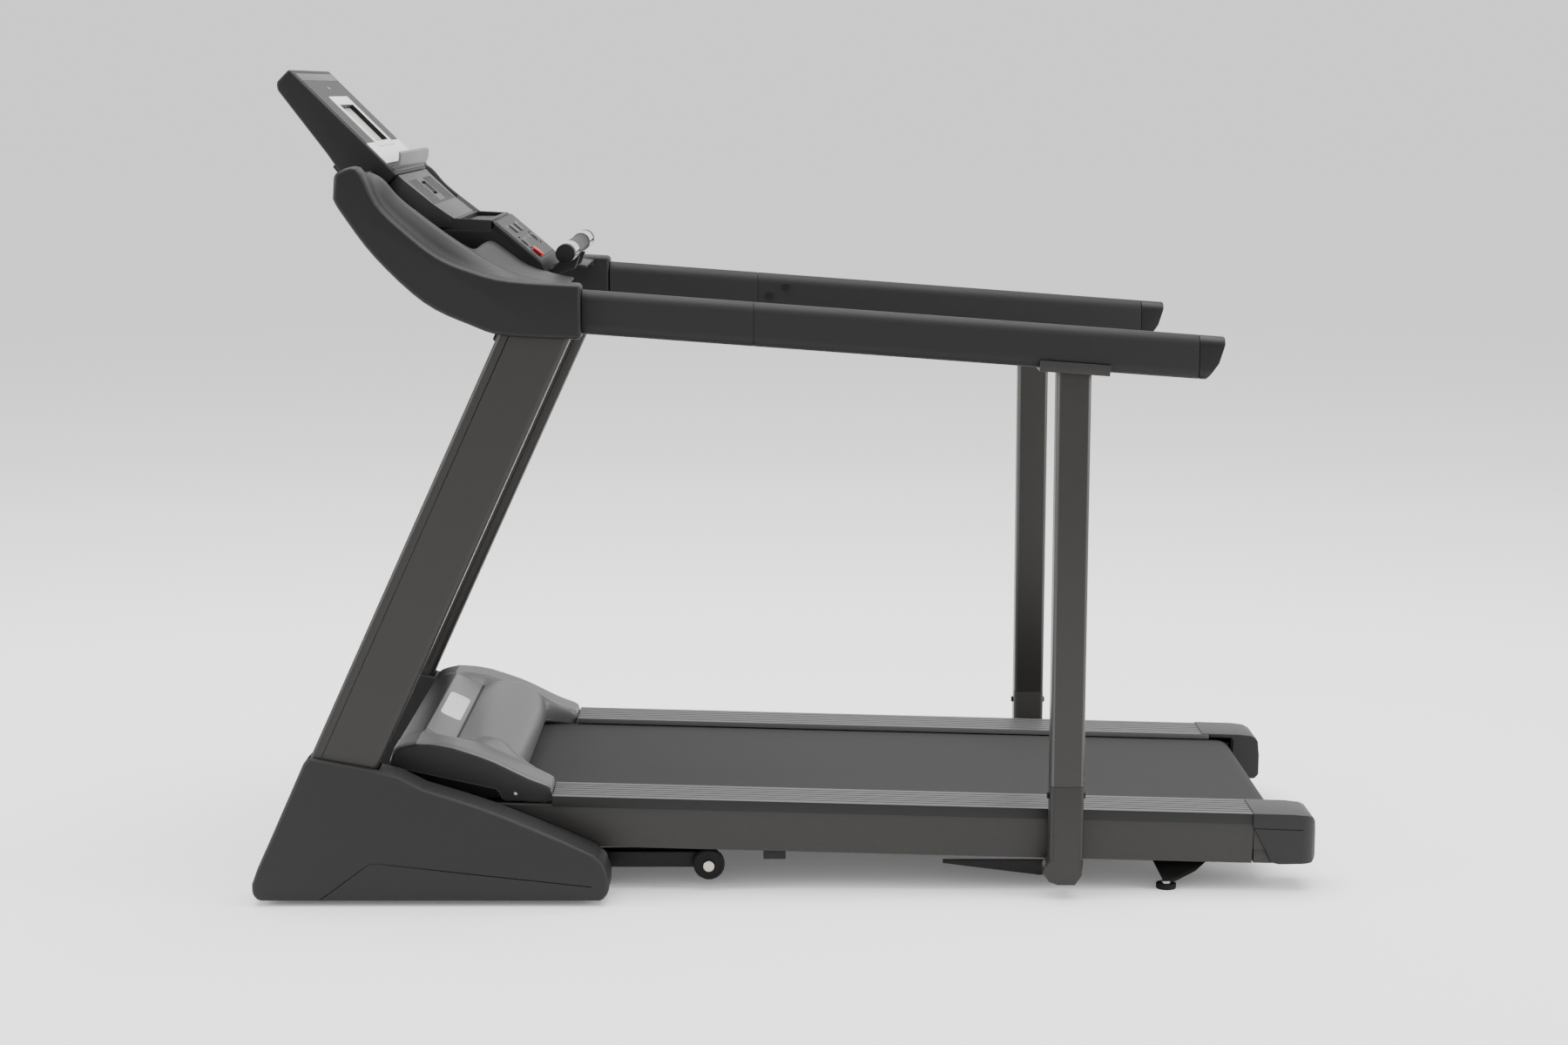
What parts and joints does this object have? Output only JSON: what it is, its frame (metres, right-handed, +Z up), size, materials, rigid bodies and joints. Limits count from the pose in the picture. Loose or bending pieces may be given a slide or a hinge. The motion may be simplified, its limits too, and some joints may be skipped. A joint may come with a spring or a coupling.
{
  "type": "treadmill",
  "caption": "Folding motorised treadmill: running belt on a hinged deck, leaning uprights, console with display and controls, and long handrails on rear posts.",
  "frame": {"origin": "on the floor, under the middle of the machine's box", "axes": "+X from the console to the rear of the deck, +Z up; the runner's left is -Y"},
  "size_m": [1.896, 0.888, 1.46],
  "materials": {
    "frame_paint": "satin metallic powder coat",
    "black_steel": "black powder coat",
    "cover_plastic": "fine textured moulding",
    "hood_plastic": "satin moulding",
    "silver_plastic": "satin silver paint",
    "console_plastic": "fine textured moulding",
    "face_film": "satin printed overlay",
    "screen": "dark display window",
    "foam_grip": "dense moulded foam",
    "black_plastic": "satin moulding",
    "rubber": "matt",
    "belt": "diamond textured PVC",
    "rail_plastic": "ribbed moulding",
    "board": "waxed MDF",
    "bright_steel": "bright plated",
    "sensor_steel": "polished",
    "key_light": "satin",
    "key_red": "satin",
    "board_green": "circuit board",
    "motor_paint": "black paint"
  },
  "bodies": {
    "frame": {"base_frame": "frame_paint", "base_cover_left": "cover_plastic", "base_cover_right": "cover_plastic", "base_pads": "rubber", "upright_left": "frame_paint", "upright_right": "frame_paint", "console_beam": "console_plastic", "arm_left": "console_plastic", "arm_right": "console_plastic", "side_trays": "hood_plastic", "console_housing": "console_plastic", "console_face": "face_film", "display_frame": "silver_plastic", "display_screen": "screen", "book_ledge": "silver_plastic", "console_ramp": "silver_plastic", "control_panel": "face_film", "pulse_bar": "black_plastic", "pulse_plates": "sensor_steel", "handrail_left": "foam_grip", "handrail_right": "foam_grip", "rail_extension_left": "foam_grip", "rail_extension_right": "foam_grip", "handrail_caps": "black_plastic", "post_saddles": "frame_paint", "post_left": "frame_paint", "post_right": "frame_paint", "post_foot_bar": "frame_paint", "frame_bolts": "black_steel", "power_inlet": "black_plastic"},
    "transport_wheel_left": {"transport_wheel_left": "rubber"},
    "transport_wheel_right": {"transport_wheel_right": "rubber"},
    "start_key": {"start_key": "key_light"},
    "stop_key": {"stop_key": "key_light"},
    "speed_key": {"speed_key": "key_light"},
    "incline_key": {"incline_key": "key_light"},
    "safety_key": {"safety_key": "key_red"},
    "power_switch": {"power_switch": "black_plastic"},
    "lift_sleeves": {"lift_sleeves": "bright_steel"},
    "lift_frame": {"lift_frame": "black_steel"},
    "deck": {"deck_frame": "frame_paint", "running_board": "board", "running_belt": "belt", "side_rail_left": "rail_plastic", "side_rail_right": "rail_plastic", "motor_hood": "hood_plastic", "hood_badge": "silver_plastic", "end_cap_left": "cover_plastic", "end_cap_right": "cover_plastic", "deck_cushions": "rubber", "drive_motor": "motor_paint", "roller_shafts": "bright_steel", "drive_belt": "rubber", "motor_controller": "board_green", "rear_feet": "rubber"},
    "motor_rotor": {"motor_rotor": "bright_steel"},
    "front_roller": {"front_roller": "bright_steel"},
    "rear_roller": {"rear_roller": "bright_steel"},
    "lift_actuator": {"lift_actuator": "black_steel"},
    "actuator_tube": {"actuator_tube": "bright_steel"}
  },
  "joints": [
    {"name": "incline_lift", "type": "hinge", "parent": "frame", "child": "lift_sleeves", "pos_m": [-0.6, 0, 0.13], "axis": [0, -1, 0], "range_deg": [0, 25]},
    {"name": "deck_fold", "type": "hinge", "parent": "lift_sleeves", "child": "lift_frame", "pos_m": [-0.6, 0, 0.13], "axis": [0, -1, 0], "range_deg": [0, 72]},
    {"name": "deck_level", "type": "hinge", "parent": "lift_frame", "child": "deck", "pos_m": [-0.35, 0, 0.115], "axis": [0, 1, 0], "range_deg": [0, 31]},
    {"name": "actuator_tilt", "type": "hinge", "parent": "deck", "child": "lift_actuator", "pos_m": [-0.56, 0.257, 0.055], "axis": [0, -1, 0], "range_deg": [-4, 4]},
    {"name": "actuator_stroke", "type": "slide", "parent": "lift_actuator", "child": "actuator_tube", "axis": [1, 0, 0], "range_m": [0, 0.034]},
    {"name": "motor_spin", "type": "hinge", "parent": "deck", "child": "motor_rotor", "pos_m": [-0.64483, 0, 0.17988], "axis": [0, -1, 0], "continuous": true},
    {"name": "front_roller_spin", "type": "hinge", "parent": "deck", "child": "front_roller", "pos_m": [-0.53097, 0, 0.13489], "axis": [0, -1, 0], "continuous": true},
    {"name": "rear_roller_spin", "type": "hinge", "parent": "deck", "child": "rear_roller", "pos_m": [0.85955, 0, 0.09848], "axis": [0, -1, 0], "continuous": true},
    {"name": "left_wheel_spin", "type": "hinge", "parent": "frame", "child": "transport_wheel_left", "pos_m": [-0.144, 0, 0.047], "axis": [0, 1, 0], "continuous": true},
    {"name": "right_wheel_spin", "type": "hinge", "parent": "frame", "child": "transport_wheel_right", "pos_m": [-0.144, 0, 0.047], "axis": [0, 1, 0], "continuous": true},
    {"name": "start_key_press", "type": "slide", "parent": "frame", "child": "start_key", "axis": [-0.6494, 0, -0.7604], "range_m": [0, 0.002], "stiffness_N_per_m": 900, "springref_m": -0.0006},
    {"name": "stop_key_press", "type": "slide", "parent": "frame", "child": "stop_key", "axis": [-0.6494, 0, -0.7604], "range_m": [0, 0.002], "stiffness_N_per_m": 900, "springref_m": -0.0006},
    {"name": "speed_key_rock", "type": "hinge", "parent": "frame", "child": "speed_key", "pos_m": [-0.49558, -0.095, 1.13111], "axis": [0, 1, 0], "range_deg": [-4, 4], "stiffness_Nm_per_rad": 0.6},
    {"name": "incline_key_rock", "type": "hinge", "parent": "frame", "child": "incline_key", "pos_m": [-0.49558, 0.095, 1.13111], "axis": [0, 1, 0], "range_deg": [-4, 4], "stiffness_Nm_per_rad": 0.6},
    {"name": "safety_key_pull", "type": "slide", "parent": "frame", "child": "safety_key", "axis": [0.6494, 0, 0.7604], "range_m": [0, 0.03]},
    {"name": "power_switch_rock", "type": "hinge", "parent": "frame", "child": "power_switch", "pos_m": [-0.9216, 0.272, 0.033], "axis": [0, 1, 0], "range_deg": [0, 16]}
  ],
  "couplings": [
    {"joint": "deck_level", "follows": "incline_lift", "ratio": 1.236},
    {"joint": "actuator_tilt", "follows": "incline_lift", "ratio": 0.096},
    {"joint": "actuator_stroke", "follows": "incline_lift", "m_per_rad": 0.07082},
    {"joint": "motor_spin", "follows": "front_roller_spin", "ratio": 1.7333},
    {"joint": "rear_roller_spin", "follows": "front_roller_spin", "ratio": 1}
  ]
}
